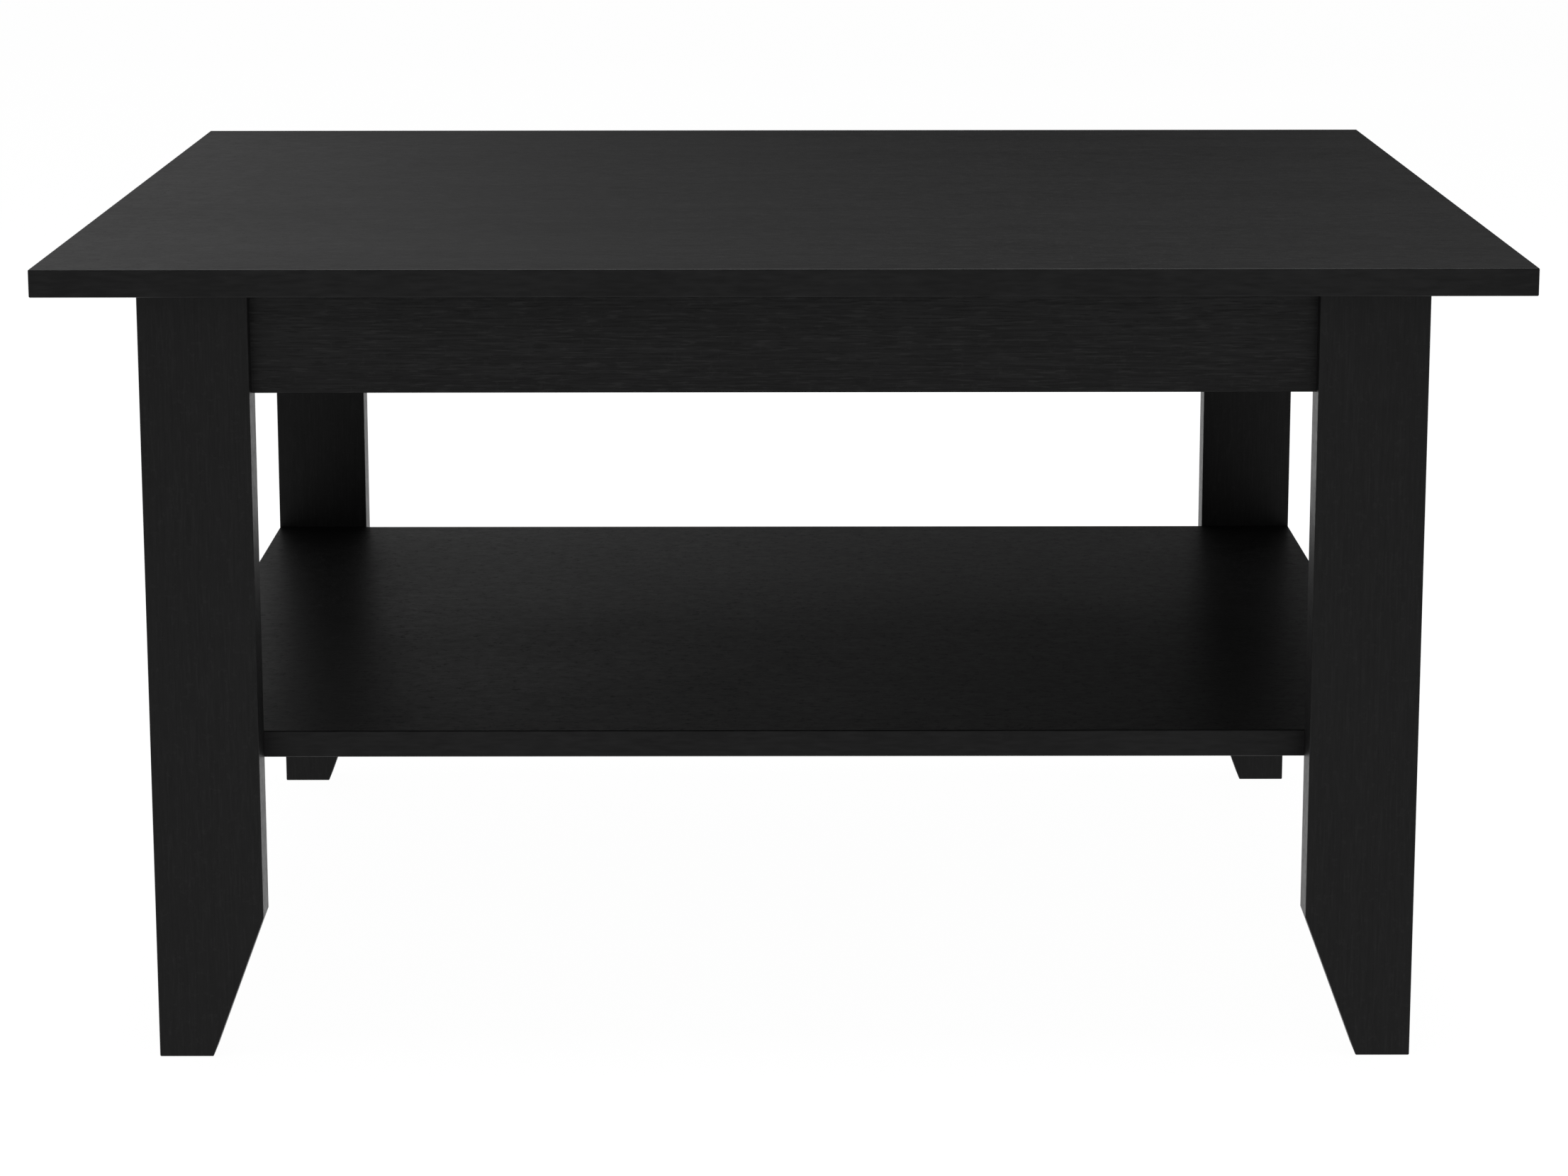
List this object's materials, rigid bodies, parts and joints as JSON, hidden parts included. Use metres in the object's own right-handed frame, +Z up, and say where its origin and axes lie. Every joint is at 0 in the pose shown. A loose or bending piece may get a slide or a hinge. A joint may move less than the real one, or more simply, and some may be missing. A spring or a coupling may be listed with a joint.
{
  "type": "lift top coffee table",
  "caption": "Rectangular black wood-grain coffee table with board legs, a lower shelf and a top that lifts up and forward over a shallow compartment.",
  "frame": {"origin": "on the floor, under the middle of the top", "axes": "+X along the length, to the right seen from the front, -Y to the front, where the top moves when it lifts, +Z up"},
  "size_m": [0.8, 0.74, 0.45],
  "materials": {
    "laminate_top": "black wood-grain laminate, satin",
    "laminate_body": "black wood-grain laminate, satin",
    "edge_band": "black edge band, satin",
    "hardboard": "thin fibreboard, black face",
    "bare_wood": "beech, raw",
    "zinc": "die-cast zinc",
    "plated_steel": "zinc-plated steel",
    "black_steel": "black powder coat",
    "spring_steel": "oiled spring steel",
    "nylon": "natural nylon",
    "glide_plastic": "black plastic",
    "bumper_rubber": "soft black rubber"
  },
  "bodies": {
    "frame": {"front_apron": "laminate_body", "rear_apron": "laminate_body", "left_rail": "laminate_body", "right_rail": "laminate_body", "front_left_leg": "laminate_body", "front_right_leg": "laminate_body", "rear_left_leg": "laminate_body", "rear_right_leg": "laminate_body", "lower_shelf": "laminate_body", "shelf_edge_band": "edge_band", "compartment_bottom": "hardboard", "foot_glides": "glide_plastic", "top_bumpers": "bumper_rubber", "cam_locks": "zinc", "cam_bolts": "plated_steel", "dowels": "bare_wood", "plate_screws": "plated_steel", "left_base_plate": "black_steel", "right_base_plate": "black_steel", "stop_studs": "plated_steel", "front_base_pins": "plated_steel", "rear_base_pins": "plated_steel", "base_sleeves": "plated_steel", "base_washers": "nylon", "left_spring_coil": "spring_steel", "right_spring_coil": "spring_steel"},
    "left_front_arm": {"left_front_arm": "black_steel", "left_spring_end": "spring_steel"},
    "right_front_arm": {"right_front_arm": "black_steel", "right_spring_end": "spring_steel"},
    "left_rear_arm": {"left_rear_arm": "black_steel"},
    "right_rear_arm": {"right_rear_arm": "black_steel"},
    "top": {"top_panel": "laminate_top", "top_edge_band": "edge_band", "left_top_bracket": "black_steel", "right_top_bracket": "black_steel", "bracket_screws": "plated_steel", "front_top_pins": "plated_steel", "rear_top_pins": "plated_steel", "top_sleeves": "plated_steel", "top_washers": "nylon"}
  },
  "joints": [
    {"name": "lift", "type": "hinge", "parent": "frame", "child": "left_front_arm", "pos_m": [-0.3105, -0.215, 0.4], "axis": [1, 0, 0], "range_deg": [0, 120], "stiffness_Nm_per_rad": 2.4, "springref_deg": 148.97},
    {"name": "right_front_arm_base", "type": "hinge", "parent": "frame", "child": "right_front_arm", "pos_m": [0.3105, -0.215, 0.4], "axis": [1, 0, 0], "range_deg": [0, 120]},
    {"name": "left_rear_arm_base", "type": "hinge", "parent": "frame", "child": "left_rear_arm", "pos_m": [-0.33, -0.115, 0.4], "axis": [1, 0, 0], "range_deg": [0, 120]},
    {"name": "right_rear_arm_base", "type": "hinge", "parent": "frame", "child": "right_rear_arm", "pos_m": [0.33, -0.115, 0.4], "axis": [1, 0, 0], "range_deg": [0, 120]},
    {"name": "top_pivot", "type": "hinge", "parent": "left_front_arm", "child": "top", "pos_m": [-0.3105, 0.0039, 0.422], "axis": [1, 0, 0], "range_deg": [-120, 0]}
  ],
  "couplings": [
    {"joint": "right_front_arm_base", "follows": "lift", "ratio": 1},
    {"joint": "left_rear_arm_base", "follows": "lift", "ratio": 1},
    {"joint": "right_rear_arm_base", "follows": "lift", "ratio": 1},
    {"joint": "top_pivot", "follows": "lift", "ratio": -1}
  ]
}
